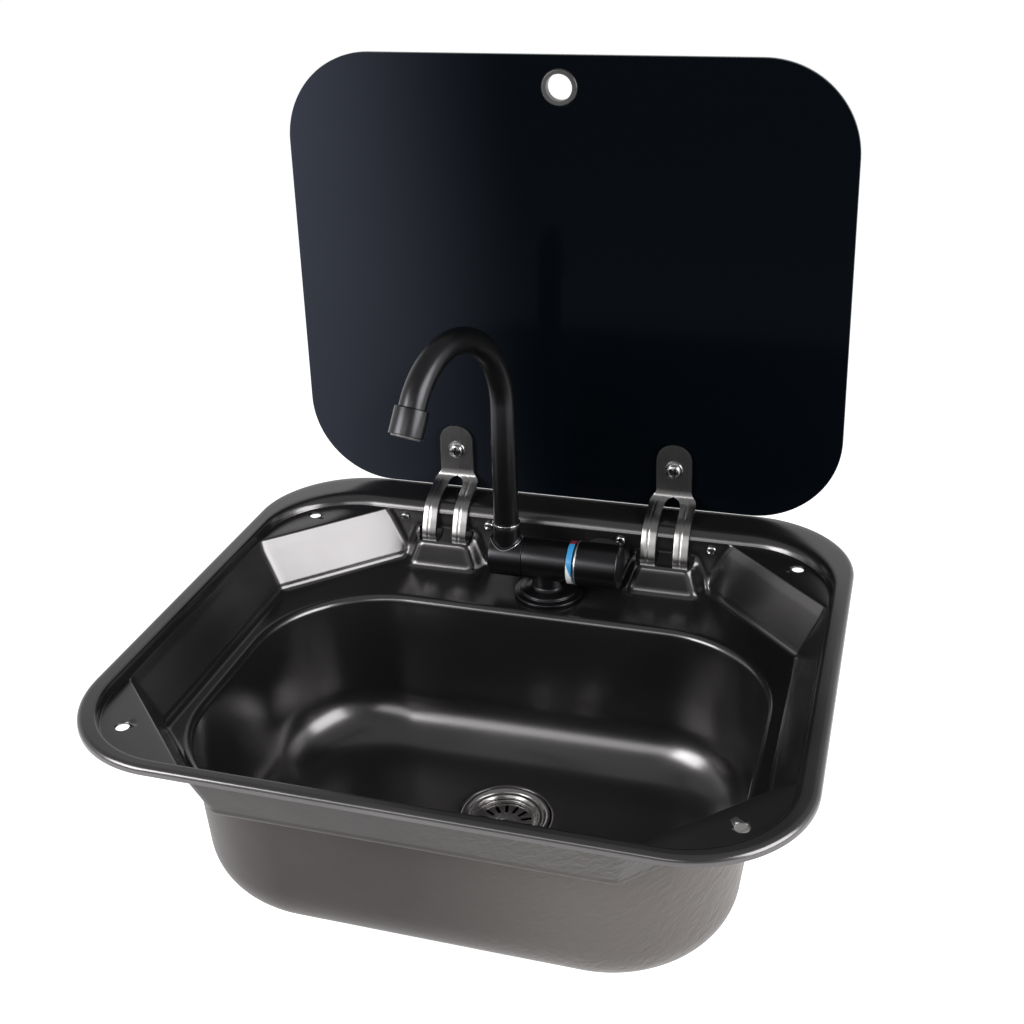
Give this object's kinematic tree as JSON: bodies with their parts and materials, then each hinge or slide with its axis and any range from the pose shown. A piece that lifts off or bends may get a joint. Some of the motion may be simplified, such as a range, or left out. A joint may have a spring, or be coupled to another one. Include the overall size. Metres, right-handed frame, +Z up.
{
  "type": "drop-in motorhome sink with hinged glass lid and folding mixer tap",
  "caption": "Drop-in sink pressed from black-coated steel, with a hinged black glass lid, a folding black mixer tap and a steel strainer.",
  "frame": {"origin": "Centre of the rim on the plane of its bottom edge, where the rim rests on the worktop round the cut-out.", "axes": "+X to the right seen from the front, +Y to the back where the lid is hinged, +Z up. The lid stands open and the spout upright."},
  "size_m": [0.42, 0.378, 0.5161],
  "materials": {
    "satin_black": "satin black coating over pressed steel, thin rolled rim and soft fillets",
    "black_glass": "black-backed toughened glass, polished front and ground edge",
    "black_tap": "matte black coated brass",
    "dark_stainless": "brushed dark stainless strip",
    "screw_steel": "bright polished screws",
    "bright_trim": "polished chrome trim",
    "brushed_strainer": "brushed stainless, turned grain",
    "brass_parts": "machined brass, dull",
    "seal_rubber": "soft black rubber",
    "ring_plastic": "semi-gloss black moulding",
    "waste_plastic": "matte black moulded waste fitting",
    "white_ring": "white ring with a red and a blue zone",
    "pad_plastic": "thin black fibre pad"
  },
  "bodies": {
    "sink": {"basin": "satin_black", "rim_seal": "seal_rubber", "tap_body": "black_tap", "tap_gasket": "seal_rubber", "tap_washer": "seal_rubber", "tap_locknut": "brass_parts", "inlet_tail_cold": "brass_parts", "inlet_tail_hot": "brass_parts", "cartridge": "brass_parts", "indicator_ring": "white_ring", "knob_trim_ring": "bright_trim", "strainer": "brushed_strainer", "strainer_screw": "bright_trim", "waste_gasket": "seal_rubber", "waste_body": "waste_plastic", "hinge_bracket_left": "dark_stainless", "hinge_pin_left": "screw_steel", "wall_screw_left_outer": "screw_steel", "wall_screw_left_inner": "screw_steel", "hinge_bracket_right": "dark_stainless", "hinge_pin_right": "screw_steel", "wall_screw_right_outer": "screw_steel", "wall_screw_right_inner": "screw_steel"},
    "lid": {"glass_lid": "black_glass", "finger_ring": "ring_plastic", "hinge_strap_left": "dark_stainless", "hinge_strap_right": "dark_stainless", "strap_pad_left": "pad_plastic", "strap_pad_right": "pad_plastic", "lid_screw_left": "screw_steel", "lid_screw_right": "screw_steel", "glass_washer_left": "seal_rubber", "glass_washer_right": "seal_rubber", "cap_nut_left": "screw_steel", "cap_nut_right": "screw_steel"},
    "spout_mount": {"fold_collar": "black_tap"},
    "spout": {"spout_tube": "black_tap", "spout_ring": "bright_trim", "nozzle": "black_tap", "aerator": "ring_plastic"},
    "knob": {"knob": "black_tap"}
  },
  "joints": [
    {"name": "lid_hinge", "type": "hinge", "parent": "sink", "child": "lid", "pos_m": [0, 0.161, -0.013], "axis": [1, 0, 0], "range_deg": [0, 90]},
    {"name": "spout_fold", "type": "hinge", "parent": "sink", "child": "spout_mount", "pos_m": [-0.0257, 0.119, -0.013], "axis": [1, 0, 0], "range_deg": [0, 90]},
    {"name": "spout_swivel", "type": "hinge", "parent": "spout_mount", "child": "spout", "pos_m": [-0.0257, 0.119, 0.012], "axis": [0, 0, 1], "range_deg": [-75, 60]},
    {"name": "knob_turn", "type": "hinge", "parent": "sink", "child": "knob", "pos_m": [0.0406, 0.119, -0.013], "axis": [1, 0, 0], "range_deg": [-75, 75]}
  ],
  "couplings": [
    {"joint": "spout_fold", "follows": "lid_hinge", "ratio": 1}
  ]
}
